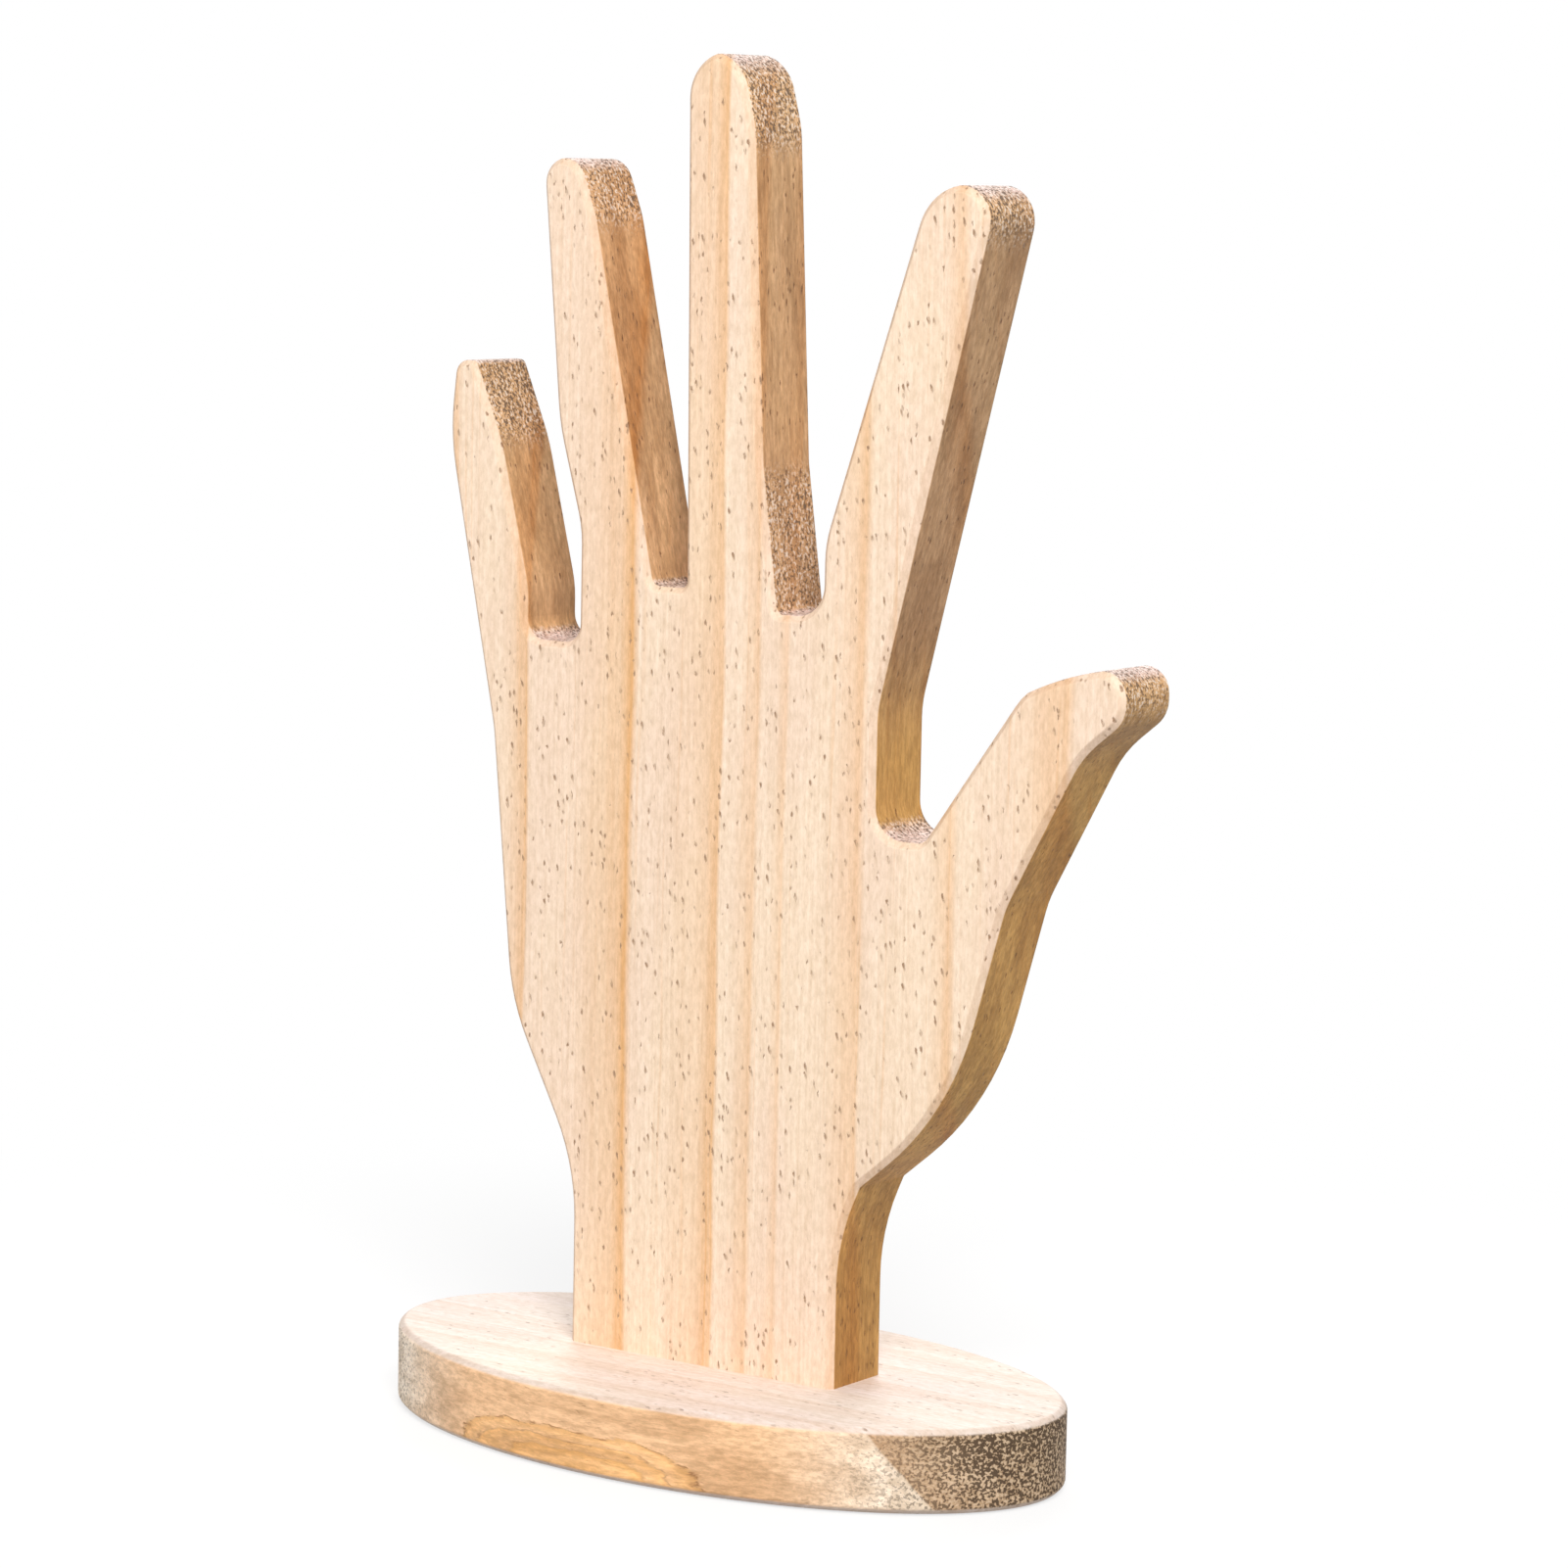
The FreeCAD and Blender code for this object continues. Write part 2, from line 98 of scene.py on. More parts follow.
# The nodes of a material or of the world
class Look:
    def __init__(self, owner):
        self.owner = owner
        owner.use_nodes = True
        self.tree = owner.node_tree
        self.tree.nodes.clear()

    # Adds a node. Plain values go on its sockets, and what varies is linked.
    def node(self, kind, settings=None, inputs=None, output=0):
        node = self.tree.nodes.new(kind)
        for name, value in (settings or {}).items():
            setattr(node, name, value)
        for key, value in (inputs or {}).items():
            socket = node.inputs[key]
            if isinstance(value, Shade):
                self.tree.links.new(value.socket, socket)
            elif isinstance(value, tuple):
                socket.default_value = (*value, 1)[:len(socket.default_value)]
            else:
                socket.default_value = value
        return Shade(self, node.outputs[output]) if node.outputs else node

    def mix(self, factor, first, second, blend="MIX"):
        settings = {"data_type": "RGBA", "blend_type": blend}
        inputs = {mixSockets["factor"]: factor, mixSockets["first"]: first, mixSockets["second"]: second}
        return self.node("ShaderNodeMix", settings, inputs, output=mixSockets["result"])

    def tint(self, colour, by):
        return self.mix(1.0, colour, by, "MULTIPLY")

    def mixShader(self, share, first, second):
        return self.node("ShaderNodeMixShader", None, {0: share, 1: first, 2: second})

    # Grey levels along a factor, from (place, level) stops
    def ramp(self, factor, stops):
        shade = self.node("ShaderNodeValToRGB", None, {"Fac": factor})
        elements = shade.socket.node.color_ramp.elements
        while len(elements) < len(stops):
            elements.new(1)
        for element, (place, level) in zip(elements, stops):
            element.position = place
            element.color = (level, level, level, 1)
        return shade

    def vector(self, x, y, z):
        return self.node("ShaderNodeCombineXYZ", None, {"X": x, "Y": y, "Z": z})

    def axes(self, vector):
        parts = self.node("ShaderNodeSeparateXYZ", None, {"Vector": vector}).socket.node
        return [Shade(self, socket) for socket in parts.outputs]

    # The object's own "Object" places or "Normal" directions, as x, y and z
    def coordinates(self, kind):
        return self.axes(self.node("ShaderNodeTexCoord", output=kind))

    def noise(self, place, scale, detail=2, roughness=0.5):
        settings = {"Vector": place, "Scale": scale, "Detail": detail, "Roughness": roughness}
        return self.node("ShaderNodeTexNoise", None, settings)

    # The distance to the nearest of many scattered points, and a random number for that point
    def cells(self, place, scale):
        near = self.node("ShaderNodeTexVoronoi", None, {"Vector": place, "Scale": scale})
        chance = Shade(self, near.socket.node.outputs["Color"])
        return near, self.axes(chance)[0]

    def finish(self, colour, roughness, height, depth, specular=0.35, metallic=0.0):
        bump = self.node("ShaderNodeBump", None, {"Strength": 1.0, "Distance": depth, "Height": height})
        shader = self.node("ShaderNodeBsdfPrincipled", None, {
            "Base Color": colour, "Roughness": roughness, "Normal": bump,
            "Specular IOR Level": specular, "Metallic": metallic})
        self.node("ShaderNodeOutputMaterial", None, {"Surface": shader})
        return self.owner


# Both boards are bare, sanded pine. A look names, in the board's own axes (across, through, along the
# grain), where its growth rings end and how its faces, sawn edges and end grain differ.
handLook = {
    "grain": (0, 1, 2),             # which object axis runs across, through and along
    # Where each ring ends across the lit face, how far its dark wood builds up, and how dark it gets
    "ringEnds": [(-57.0, 5, 0.5), (-40.6, 6, 0.65), (-17.0, 13, 1.0), (3.0, 12, 0.72), (11.0, 5, 0.5),
                 (17.0, 3, 0.4), (33.8, 7, 0.6), (53.4, 5, 0.6), (76.0, 12, 0.55)],
    "ringTilt": 0.55,               # sideways shift of a ring per unit of depth
    "ringFace": -0.008,             # depth of the lit face, where ringEnds are measured
    "wander": 1.0,                  # how far the rings wander to the sides
    "early": (0.895, 0.715, 0.560),
    "late": (0.780, 0.445, 0.205),
    "blush": (0.880, 0.690, 0.555),
    # Painted shade: sawn edges that face down get the darker tint, those that face up the lighter one
    "sawn": ((0.49, 0.385, 0.275), (0.72, 0.575, 0.41)),    # tints of edges that face down and up
    "sawnLow": (0.58, 0.425, 0.18),     # the same round the wrist and the heel of the thumb
    "lowBand": (0.125, 0.155),
    "endFace": (0.80, 0.78, 0.95),
    # Painted shade: end grain that faces down gets no pale end tint and keeps the darker tint of sawn edges
    # that face down
    "bothEnds": False,              # only what faces up is open grain; the heel's underside is closed
    "endBand": (0.45, 0.95),
    "poreBand": (0.35, 0.75),
    # Coarse open grain at each tip and between two fingers: x, z and radius in millimetres
    "openSpots": [(-50.0, 194.0, 15.0), (-34.0, 230.0, 13.0), (2.0, 249.0, 17.0), (54.0, 227.0, 9.0),
                  (84.0, 147.0, 8.0), (13.0, 163.0, 14.0)],
    "crossing": None,
    "pore": (0.13, 0.09, 0.065),
    "poreLevel": 0.58,
    "shine": (0.97, 0.92, 0.86),
    "fleck": (0.36, 0.22, 0.13),
    "fleckShare": 0.72,
}
rimSawn = (0.92, 0.68, 0.45)        # the rim has one tint all round
baseLook = {
    "grain": (1, 2, 0),
    "ringEnds": [(-36.0, 4, 0.6), (-28.0, 5, 0.5), (-17.0, 7, 0.5), (-8.0, 6, 0.4), (3.0, 8, 0.5),
                 (14.0, 7, 0.4), (23.0, 6, 0.5), (33.0, 7, 0.5)],
    "ringTilt": 0.9,
    "ringFace": 0.015,
    "wander": 2.0,
    "early": (0.835, 0.735, 0.680),
    "late": (0.740, 0.580, 0.480),
    "blush": (0.825, 0.705, 0.665),
    "sawn": (rimSawn, rimSawn),
    "sawnLow": rimSawn,
    "lowBand": (0.0, 0.001),
    "endFace": (0.50, 0.42, 0.33),
    "bothEnds": True,
    "endBand": (0.45, 0.95),
    "poreBand": (0.25, 0.85),
    "openSpots": [],
    # One ring crosses the rim on a slant: x plus slant times z, in millimetres. Past it the wood darkens
    # over some millimetres, and before it and in the paler wood there are fewer pores.
    "crossing": {"slant": 0.713, "place": 60.0, "blur": 0.35, "darkens": 20.0, "wave": 1.5,
                 "sparse": 0.02, "paleSparse": 0.06},
    "pore": (0.045, 0.026, 0.015),
    "poreLevel": 0.50,
    "shine": (0.80, 0.62, 0.44),
    "fleck": (0.45, 0.34, 0.27),
    "fleckShare": 0.82,
}
# What both boards share, with a ring's lengths in millimetres
woodGrain = {
    "ringSpan": 100.0,              # how far either side of the middle the ring ramp covers
    "ringFoot": 0.06,               # how dark a ring is where it starts
    "boldRing": 0.7,                # a ring darker than this has a line of its darkest wood
    "lineLevel": 0.5,
    "darkLine": 3.4,                # that line's width
    "sharpEdge": 0.5,               # how fast the dark wood stops
    "slowWander": 4,
    "fineWander": 1.1,
    "sawnBand": (0.25, 0.75),       # how far the normal turns from the face towards a sawn edge
    "spotBlur": (-4, 3),            # how the edge of an open spot fades
    "roughness": 0.62,
    "streakRough": 0.25,
    "poreRough": 0.2,
    "bump": 0.00010,
}
# Noise in the wood. The first number is how much of the grain's length counts, so a small one draws
# the pattern out along the grain, and the others are scale, detail and roughness.
patterns = {
    "slow": (0.875, 11.2, 2, 0.5),
    "fine": (0.12, 160, 2, 0.5),
    "streak": (0.02, 1900, 3, 0.65),
    "broad": (0.03, 420, 2, 0.5),
    "patch": (0.3, 55, 3, 0.5),
    "mottle": (0.4, 1000, 3, 0.75),
    "cluster": (0.5, 120, 3, 0.6),
    "rasp": (0.22, 1300, 3, 0.7),
    "stain": (0.15, 190, 3, 0.6),
    "pores": (0.8, 1750, 1, 0.6),
    "wave": (1.0, 90, 3, 0.5),
    "flame": (0.30, 110, 5, 0.65),
}


# Dark wood builds up softly along a ring and ends sharply, as (place, strength) stops from 0 to 1
def ringStops(ringEnds):
    stops = [(0, 0)]
    for end, rise, strength in ringEnds:
        line = [(woodGrain["darkLine"], woodGrain["lineLevel"])] if strength > woodGrain["boldRing"] else []
        steps = [(rise, woodGrain["ringFoot"])] + line + [(woodGrain["sharpEdge"], 1), (0, 0)]
        for back, level in steps:
            stops.append((0.5 + (end - back) / (2 * woodGrain["ringSpan"]), level * strength))
    return stops


# What every part of a board's material works from
class Board:
    def __init__(self, name, wood):
        self.look = look = Look(bpy.data.materials.new(name))
        self.wood = wood
        self.spot = look.coordinates("Object")
        facing = look.coordinates("Normal")
        self.across, self.through, self.along = (self.spot[axis] for axis in wood["grain"])
        self.faceNormal = abs(facing[wood["grain"][1]])
        end = facing[wood["grain"][2]]
        self.endNormal = abs(end) if wood["bothEnds"] else end
        self.sawn = 1 - self.faceNormal.step(*woodGrain["sawnBand"])
        self.streak = self.pattern("streak")
        self.broad = self.pattern("broad")
        self.patch = self.pattern("patch")
        self.mottle = self.pattern("mottle")
        self.rasp = self.pattern("rasp")

    def pattern(self, name):
        share, *settings = patterns[name]
        return self.look.noise(self.look.vector(self.across, self.through, self.along * share), *settings)

    # Growth rings: near-upright sheets that lean through the board and wander along it
    def rings(self):
        wood = self.wood
        slow, fine = (self.pattern(name) - 0.5 for name in ("slow", "fine"))
        shift = slow * (woodGrain["slowWander"] * wood["wander"]) + fine * woodGrain["fineWander"]
        lean = (self.through - wood["ringFace"]) * (perMetre * wood["ringTilt"])
        ring = self.across * perMetre + lean + shift
        place = ring * (0.5 / woodGrain["ringSpan"]) + 0.5
        return ring, self.look.ramp(place, ringStops(wood["ringEnds"]))

    # Whether a place lies past the crossing ring, and how far on it is towards the darkest wood
    def pastCrossing(self):
        crossing = self.wood["crossing"]
        wave = (self.pattern("wave") - 0.5) * crossing["wave"]
        past = (self.spot[0] + self.spot[2] * crossing["slant"]) * perMetre + wave - crossing["place"]
        return past.step(-crossing["blur"], crossing["blur"]), past.step(0, crossing["darkens"])

    # How far the surface is open end grain
    def openGrain(self):
        share = self.endNormal.step(*self.wood["poreBand"])
        inner, outer = woodGrain["spotBlur"]
        for x, z, radius in self.wood["openSpots"]:
            reach = span([self.spot[0] * perMetre - x, self.spot[2] * perMetre - z])
            share = share.math("MAXIMUM", share, 1 - reach.step(radius + inner, radius + outer))
        return share * self.sawn


# Fibres: long fine streaks, broader ones, and thin lines that follow the rings
fibreLook = {
    "lateShare": 0.55, "lateBroad": 0.9,        # how much late wood shows, plain and in broad streaks
    "blushBand": (0.40, 0.62),
    "lineStretch": (0.0012, 0.1, 0.012), "lineScale": 900, "lineBand": (0.58, 0.78), "lineShare": 0.30,
    "streak": 1.5, "broad": 0.6, "level": 0.30,
    "light": (1.06, 1.07, 1.07),
    "dark": (0.89, 0.84, 0.77),
}


def fibreColour(board, ring, lateWood):
    look, wood, plan = board.look, board.wood, fibreLook
    places = zip((ring, board.through, board.along), plan["lineStretch"])
    lines = look.noise(look.vector(*(place * stretch for place, stretch in places)), plan["lineScale"])
    colour = look.mix(board.patch.step(*plan["blushBand"]), wood["early"], wood["blush"])
    colour = look.mix(lateWood + lines.step(*plan["lineBand"]) * plan["lineShare"], colour, wood["late"])
    streaks = (board.streak - 0.5) * plan["streak"] + (board.broad - 0.5) * plan["broad"] + plan["level"]
    return look.tint(colour, look.mix(streaks, plan["light"], plan["dark"]))


# Flecks: short dark resin canals along the grain, in clusters, and a mottle
fleckLook = {
    "mottleBand": (0.30, 0.70), "mottleDark": (0.90, 0.88, 0.83), "mottleLight": (1.06, 1.07, 1.08),
    "bend": 0.0016,                 # how far, in metres, the mottle shifts a fleck's outline
    "length": 0.45, "scale": 1020,  # the share of the grain's length that counts, and the flecks' scale
    "dotBand": (0.10, 0.38),
    "inRings": 0.10, "inClusters": 1.6,         # how much more often a fleck lies in either
    "faint": 0.10, "toneBand": (0.30, 0.60),
}


def addFlecks(board, colour, late):
    look, plan, mottle = board.look, fleckLook, board.mottle
    shade = look.mix(mottle.step(*plan["mottleBand"]), plan["mottleDark"], plan["mottleLight"])
    colour = look.tint(colour, shade)
    bend = (mottle - 0.5) * plan["bend"]
    place = look.vector(board.across + bend, board.through, board.along * plan["length"] - bend)
    near, chance = look.cells(place, plan["scale"])
    dot = 1 - near.step(*plan["dotBand"])
    chance = chance + late * plan["inRings"] + (board.pattern("cluster") - 0.5) * plan["inClusters"]
    fleck = dot * (chance > board.wood["fleckShare"])
    share = dot * plan["faint"] + fleck * mottle.step(*plan["toneBand"])
    return look.mix(share, colour, board.wood["fleck"]), fleck


# Painted shade: the eased edge is tinted darker, as it catches less light than a sharp plane one would
easedShadeLook = {"start": (0.45, 0.70), "end": (0.88, 0.99), "tint": (0.90, 0.87, 0.85)}


def shadeEasedEdge(board, colour):
    look = board.look
    eased = board.faceNormal.step(*easedShadeLook["start"]) * (1 - board.faceNormal.step(*easedShadeLook["end"]))
    return look.mix(eased, colour, look.tint(colour, easedShadeLook["tint"]))


# Sawn edges are darker than the sanded faces, rasped along the grain and stained in patches; painted shade
# darkens those facing down
sawnLook = {
    "shadeByFacingBand": (-0.35, 0.35),
    "raspBand": (0.30, 0.70), "raspTints": ((0.80, 0.78, 0.74), (1.12, 1.12, 1.12)),
    "stainBand": (0.40, 0.60), "stainTints": ((0.87, 0.82, 0.75), (1.13, 1.12, 1.10)),
}


def sawnEdge(board, colour, sawnColour):
    look, wood, plan = board.look, board.wood, sawnLook
    low = 1 - board.spot[2].step(*wood["lowBand"])
    # Painted shade: the tint runs from the darker one where an edge faces down to the lighter one where it
    # faces up
    high = look.mix(board.endNormal.step(*plan["shadeByFacingBand"]), *wood["sawn"])
    edge = look.tint(colour, look.mix(low, high, wood["sawnLow"]))
    edge = look.mix(board.endNormal.step(*wood["endBand"]), edge, look.tint(colour, wood["endFace"]))
    if sawnColour:
        edge = sawnColour(board, edge)
    edge = look.tint(edge, look.mix(board.rasp.step(*plan["raspBand"]), *plan["raspTints"]))
    stain = board.pattern("stain").step(*plan["stainBand"])
    return look.tint(edge, look.mix(stain, *plan["stainTints"]))


# End grain shows as open pores among bright fibre ends
poreLook = {
    "patchy": 0.25,                 # how much the number of pores varies from patch to patch
    "sharpness": 20, "edge": (-0.5, 0.5), "strength": 0.85,
    "shineBand": (0.34, 0.46), "shine": 0.5,
}


def addPores(board, colour):
    look, wood, plan = board.look, board.wood, poreLook
    grain = board.pattern("pores")
    openGrain = board.openGrain()
    level = (board.patch - 0.5) * plan["patchy"] + wood["poreLevel"]
    if wood["crossing"]:
        past, deep = board.pastCrossing()
        level = level + (1 - past) * wood["crossing"]["sparse"] + (1 - deep) * wood["crossing"]["paleSparse"]
    pores = ((grain - level) * plan["sharpness"]).step(*plan["edge"]) * openGrain
    shine = (1 - grain.step(*plan["shineBand"])) * openGrain
    colour = look.mix(shine * plan["shine"], colour, wood["shine"])
    return look.mix(pores * plan["strength"], colour, wood["pore"]), pores


# How much each part of the wood stands out or lies deep
relief = {"streak": 0.6, "broad": 0.3, "fleck": 0.8, "pores": 0.9, "lateWood": 0.15, "rasp": 0.8}


def woodMaterial(name, wood, sawnColour=None):
    board = Board(name, wood)
    ring, late = board.rings()
    lateWood = late * (fibreLook["lateShare"] + fibreLook["lateBroad"] * board.broad)
    colour = fibreColour(board, ring, lateWood)
    colour, fleck = addFlecks(board, colour, late)
    colour = shadeEasedEdge(board, colour)
    colour = board.look.mix(board.sawn, colour, sawnEdge(board, colour, sawnColour))
    colour, pores = addPores(board, colour)
    rough = (board.streak - 0.5) * woodGrain["streakRough"] + pores * woodGrain["poreRough"]
    raised = (board.streak * relief["streak"] + board.broad * relief["broad"]
              + board.rasp * board.sawn * relief["rasp"])
    sunk = fleck * relief["fleck"] + pores * relief["pores"] + lateWood * relief["lateWood"]
    return board.look.finish(colour, rough + woodGrain["roughness"], raised - sunk, woodGrain["bump"])


# The base's rim cuts through its rings: a flame of orange wood low on the lit side, paler wood beside
# it, and one ring that crosses the rim on a slant
rimLook = {
    "flame": {"middle": (-6.0, -37.0, 0.0), "half": (32.0, 12.0, 8.5), "warp": 0.8},
    "flameWood": (1.00, 0.56, 0.20),
    "flameLine": (0.26, 0.12, 0.05),
    "flameShare": 0.85,
    "lineBand": (0.40, 0.60),
    "orange": (0.83, 0.53, 0.31),
    "beige": (0.97, 0.87, 0.76),
    "beigeBand": (0.22, 0.62),
    "edgeShare": 0.15,              # how much of the plain sawn edge shows through
    "beyond": ((0.66, 0.53, 0.41), (0.41, 0.32, 0.22)),     # tints just past the ring and at its darkest
    # Stops across the flame, from its middle to its edge
    "woodStops": [(0, 0.9), (0.35, 0.55), (0.50, 0.95), (0.54, 0.35), (0.72, 0.75), (0.76, 0.25),
                  (0.95, 0.7), (1, 0)],
    "lineStops": [(0.46, 0), (0.52, 0.5), (0.55, 0), (0.71, 0), (0.755, 0.6), (0.775, 0),
                  (0.90, 0), (0.975, 0.9), (1, 0)],
}


def rimColour(board, edge):
    look, flame = board.look, rimLook["flame"]
    warp = (board.pattern("flame") - 0.5) * flame["warp"]
    places = zip(board.spot, flame["middle"], flame["half"])
    reach = span([(axis * perMetre - middle) * (1 / half) for axis, middle, half in places]) + warp
    inside = look.ramp(reach, rimLook["woodStops"]) * rimLook["flameShare"]
    lines = look.ramp(reach, rimLook["lineStops"]) * board.rasp.step(*rimLook["lineBand"])
    rim = look.mix(board.endNormal.step(*rimLook["beigeBand"]), rimLook["orange"], rimLook["beige"])
    rim = look.mix(rimLook["edgeShare"], rim, edge)
    rim = look.mix(inside, rim, rimLook["flameWood"])
    rim = look.mix(lines, rim, rimLook["flameLine"])
    past, deep = board.pastCrossing()
    return look.mix(past, rim, look.tint(rim, look.mix(deep, *rimLook["beyond"])))


screwLook = {
    "steel": (0.62, 0.62, 0.60), "dull": (0.50, 0.50, 0.49),
    "haze": (900, 3), "hazeBand": (0.35, 0.65), "rings": (500, 2), "ringStretch": (1, 1, 14),
    "roughness": 0.28, "hazeRough": 0.25, "bump": 0.00002, "specular": 0.5, "metallic": 1.0,
}


def screwMaterial():
    look = Look(bpy.data.materials.new("screwSteel"))
    spot = look.coordinates("Object")
    haze = look.noise(look.vector(*spot), *screwLook["haze"])
    stretched = [axis * stretch for axis, stretch in zip(spot, screwLook["ringStretch"])]
    rings = look.noise(look.vector(*stretched), *screwLook["rings"])
    colour = look.mix(haze.step(*screwLook["hazeBand"]), screwLook["steel"], screwLook["dull"])
    return look.finish(colour, screwLook["roughness"] + haze * screwLook["hazeRough"], rings,
                       screwLook["bump"], screwLook["specular"], screwLook["metallic"])


# Sanding leaves each board's edges round, so a board is its solid with the two edges of every chamfer
# bevelled into a curve. Lengths are in metres and angles in degrees.
boardPlan = {
    "merge": 0.00001,
    "weld": 0.0001,
    "flat": 1.0,                    # faces that turn less than this from each other are one face
    "corner": 30.0,                 # edges that turn more than this are sanded round
    "soften": 0.00042,
    "steps": 3,
    "square": 0.99999,              # a face this square to an axis and over this area is shaded flat
    "plane": 0.00002,
    "foot": 0.0001,                 # edges this near the wrist's foot stay sharp
}
# Fingertips are sanded rounder than the solid's outline. A tip is what stands past its root, a place and
# the way on from it. Each rounding is an arc's middle, x and z, its radius and the angles it lies
# between, in millimetres and degrees.
tipPlan = {
    "inset": 1.1,                   # how far the chamfer draws the faces' outline in
    "reach": 32,                    # how far from its root a tip ends
    "behind": 0.001,                # and how little of it may lie behind the root
    "step": 1.3,                    # distance between cuts along an arc
    # A bevel is held back by the shortest edge. So cuts spare corners this near to them, and corners
    # this close together are welded, both in metres.
    "near": 0.0002,
    "weld": 0.0003,
}
tips = {
    "middle": {"root": (0, 225), "onward": (0, 1),
               "arcs": [(-2.6, 241.3, 8.3, 15, 90), (0.7, 241.6, 8.0, 90, 179)]},
    "ring": {"root": (-35, 212), "onward": (0, 1),
             "arcs": [(-35.0, 225.7, 5.0, 20, 90), (-34.6, 226.1, 4.6, 90, 185)]},
    "index": {"root": (47, 206), "onward": (0, 1),
              "arcs": [(50.3, 221.3, 6.2, -14, 90), (51.5, 217.5, 10.0, 90, 162)]},
    "thumb": {"root": (65, 140), "onward": (1, 0),
              "arcs": [(92.1, 87.9, 60.0, 97, 116), (81.5, 142.4, 4.5, 0, 100)]},
}
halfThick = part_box("hand_board")[1][1] * perMetre       # half the board's thickness, in millimetres


def inTip(vert, root, onward):
    way = vert.co * perMetre - root
    way.y = 0
    return way.dot(onward) > -tipPlan["behind"] and way.length < tipPlan["reach"]


def cut(shape, parts, place, normal):
    bmesh.ops.bisect_plane(shape, geom=parts, dist=tipPlan["near"], plane_co=place / perMetre,
                           plane_no=normal)


# Cuts a tip's outline at even steps along an arc
def cutAlong(shape, way, arc):
    x, z, radius, first, last = arc
    count = math.ceil(math.radians(last - first) * radius / tipPlan["step"])
    for number in range(count + 1):
        angle = math.radians(first + (last - first) * number / count)
        faces = [face for face in shape.faces if all(inTip(vert, *way) for vert in face.verts)]
        parts = dict.fromkeys(part for face in faces for part in (*face.edges, *face.verts))
        cut(shape, list(parts) + faces, Vector((x, 0, z)), (-math.sin(angle), 0, math.cos(angle)))


# Pulls what stands outside an arc onto it
def pullOnto(shape, way, arc):
    x, z, radius, first, last = arc
    for vert in shape.verts:
        out = vert.co * perMetre - Vector((x, 0, z))
        edge = radius - max(0, abs(out.y) - halfThick + tipPlan["inset"])
        out.y = 0
        turn = math.degrees(math.atan2(out.z, out.x))
        turn += 360 if turn < first - 90 else 0
        if inTip(vert, *way) and first <= turn <= last and out.length > edge:
            out *= edge / out.length
            vert.co.x, vert.co.z = (x + out.x) / perMetre, (z + out.z) / perMetre


def roundTips(shape):
    ways = []
    for tip in tips.values():
        way = [Vector((x, 0, z)) for x, z in (tip["root"], tip["onward"])]
        cut(shape, shape.verts[:] + shape.edges[:] + shape.faces[:], *way)
        for arc in tip["arcs"]:
            cutAlong(shape, way, arc)
            pullOnto(shape, way, arc)
        ways.append(way)
    ends = [vert for vert in shape.verts if any(inTip(vert, *way) for way in ways)]
    bmesh.ops.remove_doubles(shape, verts=ends, dist=tipPlan["weld"])
    bmesh.ops.remove_doubles(shape, verts=shape.verts, dist=boardPlan["weld"])
    bmesh.ops.dissolve_degenerate(shape, dist=boardPlan["weld"], edges=shape.edges)


def isFlat(face):
    square = max(abs(axis) for axis in face.normal) >= boardPlan["square"]
    return square and face.calc_area() >= boardPlan["plane"]


# Shows a board as a copy of its node's solid, sanded round at its edges
def sandedBoard(name, nodeName, material, keepSharp=None, reshape=None):
    shape = bmesh.new()
    shape.from_mesh(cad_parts[nodeName].data)
    bmesh.ops.remove_doubles(shape, verts=shape.verts, dist=boardPlan["merge"])
    bmesh.ops.dissolve_limit(shape, angle_limit=math.radians(boardPlan["flat"]),
                             verts=shape.verts, edges=shape.edges)
    if reshape:
        reshape(shape)
    corner = math.radians(boardPlan["corner"])
    edges = [edge for edge in shape.edges if edge.is_manifold and edge.calc_face_angle() > corner
             and not (keepSharp and all(keepSharp(vert.co) for vert in edge.verts))]
    bmesh.ops.bevel(shape, geom=edges, offset=boardPlan["soften"], offset_type="OFFSET", affect="EDGES",
                    segments=boardPlan["steps"], profile=0.5, material=-1, clamp_overlap=True)
    for face in shape.faces:
        face.smooth = not isFlat(face)
    for edge in shape.edges:
        edge.smooth = edge.calc_face_angle(0) < corner
    mesh = bpy.data.meshes.new(name)
    shape.to_mesh(mesh)
    shape.free()
    mesh.materials.clear()
    mesh.materials.append(material)
    board = bpy.data.objects.new(name, mesh)
    bpy.context.scene.collection.objects.link(board)
    normals = board.modifiers.new("faceNormals", "WEIGHTED_NORMAL")
    normals.mode = "FACE_AREA"
    normals.keep_sharp = True
    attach(board, "root")
    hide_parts(nodeName)


def dress(nodeName, material):
    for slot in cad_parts[nodeName].material_slots:
        slot.material = material


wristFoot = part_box("hand_board")[0][2]


def atFoot(place):
    return place.z < wristFoot + boardPlan["foot"]


sandedBoard("handBoard", "hand_board", woodMaterial("handWood", handLook), atFoot, roundTips)
sandedBoard("ovalBase", "oval_base", woodMaterial("baseWood", baseLook, rimColour))
dress("base_screws", screwMaterial())
print("boards sanded, screws dressed")


# The floor lies a gap under the base, so the two never share a plane, and fades to white with distance
floorPlan = {"size": 6.0, "gap": 0.0003, "shown": (0.97, 0.97, 0.97), "bounce": (0.45, 0.45, 0.45),
             "fadeBand": (0.12, 0.30), "nearWhite": 0.72}
white = {"Color": (1, 1, 1), "Strength": 1.0}


# The camera, and what mirrors or lets light through, sees the white background
def whiteForCamera(look):
    path = look.node("ShaderNodeLightPath").socket.node.outputs
    camera, glossy, transmission = (Shade(look, path[name]) for name in
                                    ("Is Camera Ray", "Is Glossy Ray", "Is Transmission Ray"))
    return camera.math("MAXIMUM", camera, glossy.math("MAXIMUM", glossy, transmission))


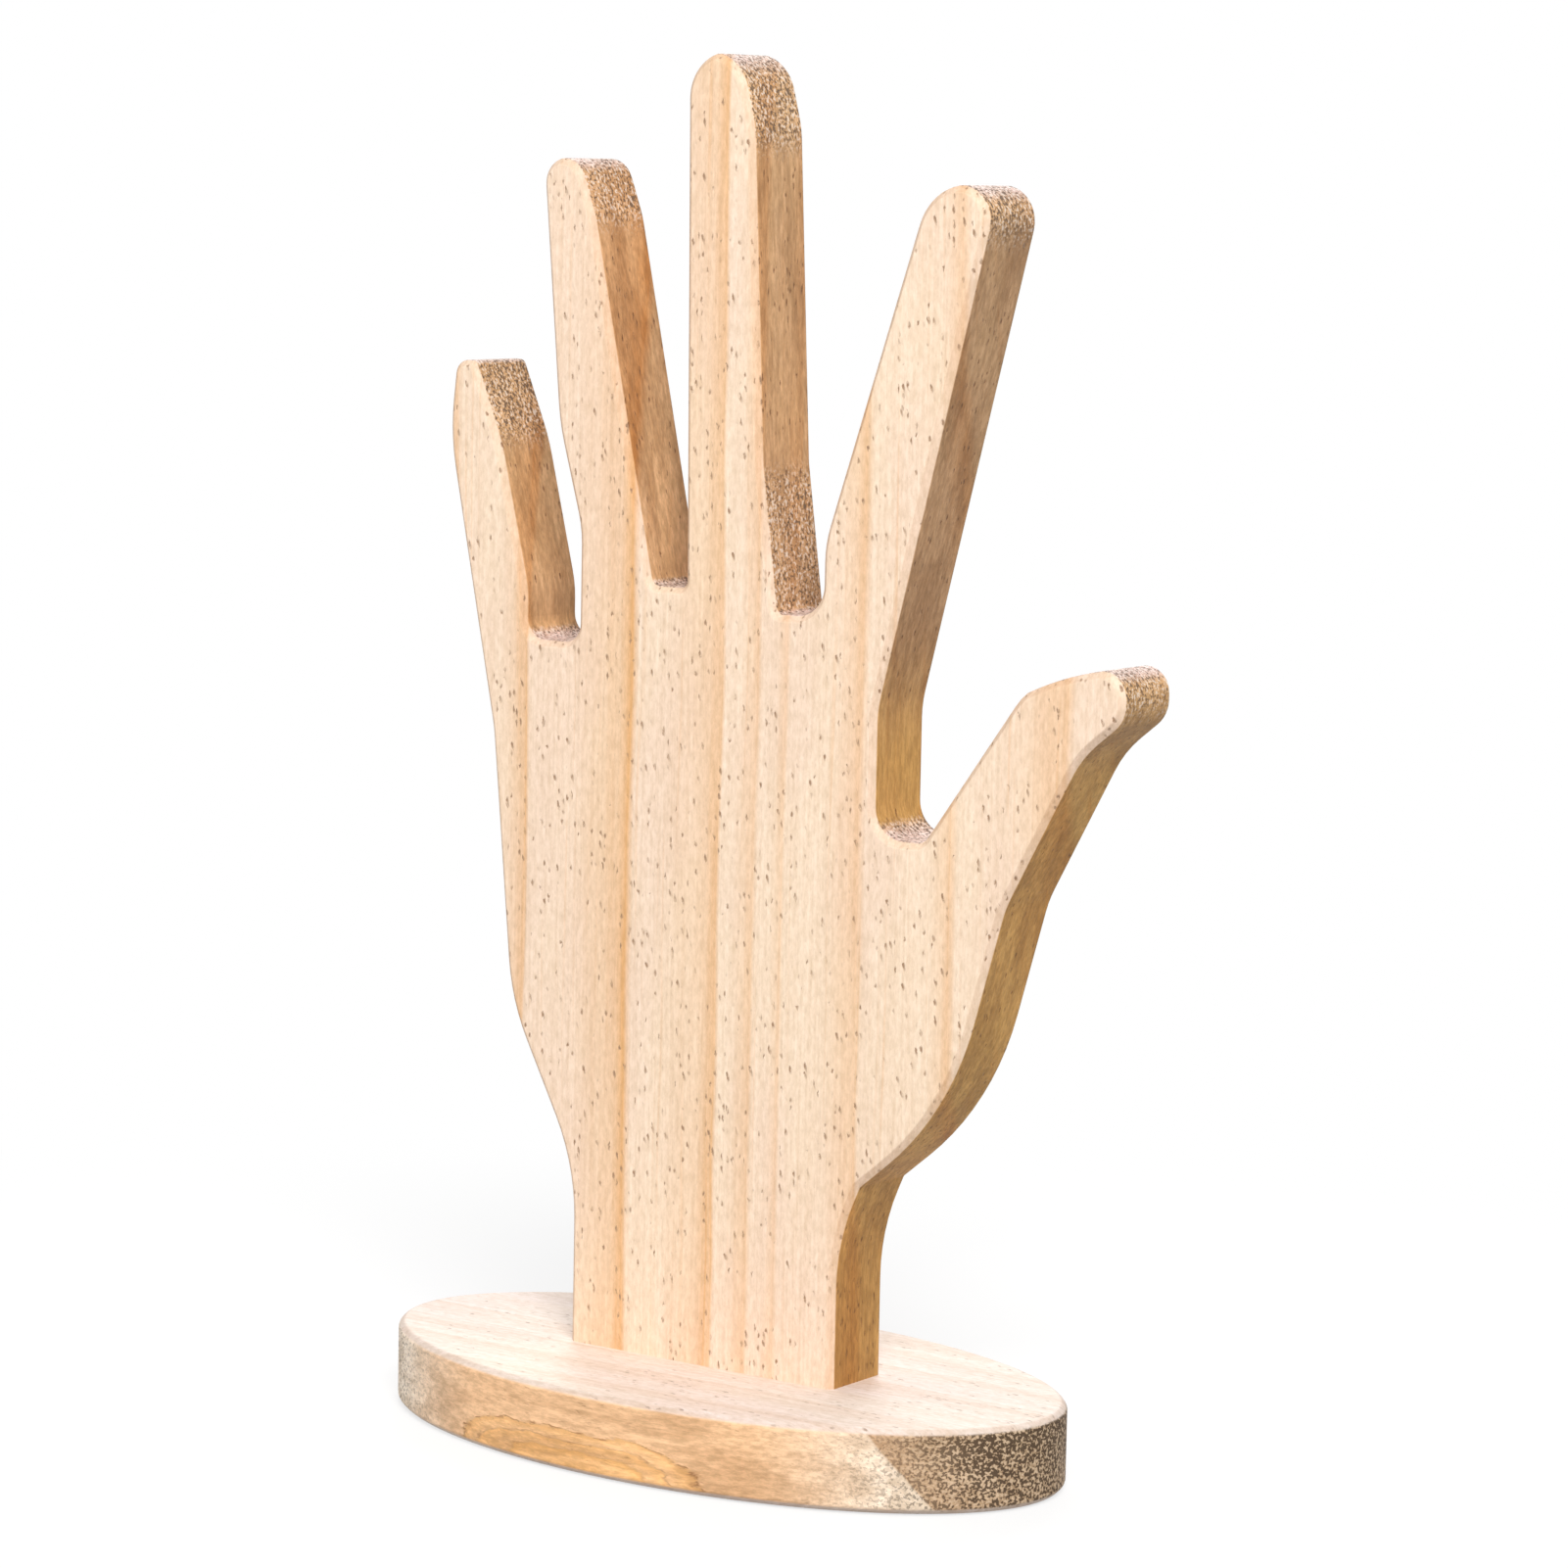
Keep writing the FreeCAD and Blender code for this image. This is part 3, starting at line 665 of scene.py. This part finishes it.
def makeFloor():
    shape = bmesh.new()
    bmesh.ops.create_grid(shape, x_segments=1, y_segments=1, size=floorPlan["size"] / 2)
    mesh = bpy.data.meshes.new("floor")
    shape.to_mesh(mesh)
    shape.free()
    mesh.transform(Matrix.Translation((0, 0, -floorPlan["gap"])))
    floor = bpy.data.objects.new("floor", mesh)
    bpy.context.scene.collection.objects.link(floor)
    look = Look(bpy.data.materials.new("floorWhite"))
    reach = span(look.coordinates("Object")[:2])
    fade = reach.step(*floorPlan["fadeBand"]) * (1 - floorPlan["nearWhite"]) + floorPlan["nearWhite"]
    seen = whiteForCamera(look)
    tone = look.mix(seen, floorPlan["bounce"], floorPlan["shown"])
    paper = look.node("ShaderNodeBsdfDiffuse", None, {"Color": tone})
    glow = look.node("ShaderNodeEmission", None, white)
    look.node("ShaderNodeOutputMaterial", None, {"Surface": look.mixShader(fade * seen, paper, glow)})
    mesh.materials.append(look.owner)


makeFloor()
print("floor")


# Soft light from the front and above; the world fills the rest
lights = {
    "key": {"place": (0.92, -1.02, 1.19), "size": 0.8, "power": 29.0, "colour": (1.0, 0.985, 0.96)},
    "fill": {"place": (-1.10, -0.70, 0.35), "size": 1.0, "power": 3.2, "colour": (1.0, 0.99, 0.97)},
    "back": {"place": (-0.70, 1.15, 0.80), "size": 1.0, "power": 9.0, "colour": (1.0, 0.99, 0.98)},
}
lightAim = (0, 0, 0.12)
roomLight = {"Color": (0.97, 0.98, 1.0), "Strength": 0.42}


def makeLights():
    for name, plan in lights.items():
        lamp = bpy.data.lights.new(name, "AREA")
        lamp.shape = "DISK"
        lamp.size = plan["size"]
        lamp.energy = plan["power"]
        lamp.color = plan["colour"]
        holder = bpy.data.objects.new(name, lamp)
        holder.location = plan["place"]
        way = Vector(lightAim) - holder.location
        holder.rotation_euler = way.to_track_quat("-Z", "Y").to_euler()
        bpy.context.scene.collection.objects.link(holder)


def makeWorld():
    world = bpy.data.worlds.new("room")
    look = Look(world)
    room = look.node("ShaderNodeBackground", None, roomLight)
    backdrop = look.node("ShaderNodeBackground", None, white)
    look.node("ShaderNodeOutputWorld", None,
              {"Surface": look.mixShader(whiteForCamera(look), room, backdrop)})
    bpy.context.scene.world = world


makeLights()
makeWorld()
print("lights:", ", ".join(lights))


# Where the photographer stood, in metres, with turns in degrees and the sensor and lens in millimetres
cameraPlan = {"place": (0.5209, -0.7189, 0.2311), "yaw": -35.348, "pitch": -7.125, "roll": -1.126,
              "sensor": 36, "lens": 114.63, "nearest": 0.01}


def makeCamera():
    data = bpy.data.cameras.new("camera")
    data.sensor_width = cameraPlan["sensor"]
    data.lens = cameraPlan["lens"]
    data.clip_start = cameraPlan["nearest"]
    camera = bpy.data.objects.new("camera", data)
    yaw, pitch, roll = (math.radians(cameraPlan[turn]) for turn in ("yaw", "pitch", "roll"))
    turned = (Matrix.Rotation(-yaw, 4, "Z") @ Matrix.Rotation(math.pi / 2 + pitch, 4, "X")
              @ Matrix.Rotation(-roll, 4, "Z"))
    camera.matrix_world = Matrix.Translation(cameraPlan["place"]) @ turned
    bpy.context.scene.collection.objects.link(camera)
    bpy.context.scene.camera = camera


makeCamera()
bpy.context.scene.view_settings.view_transform = "Standard"
print("camera")
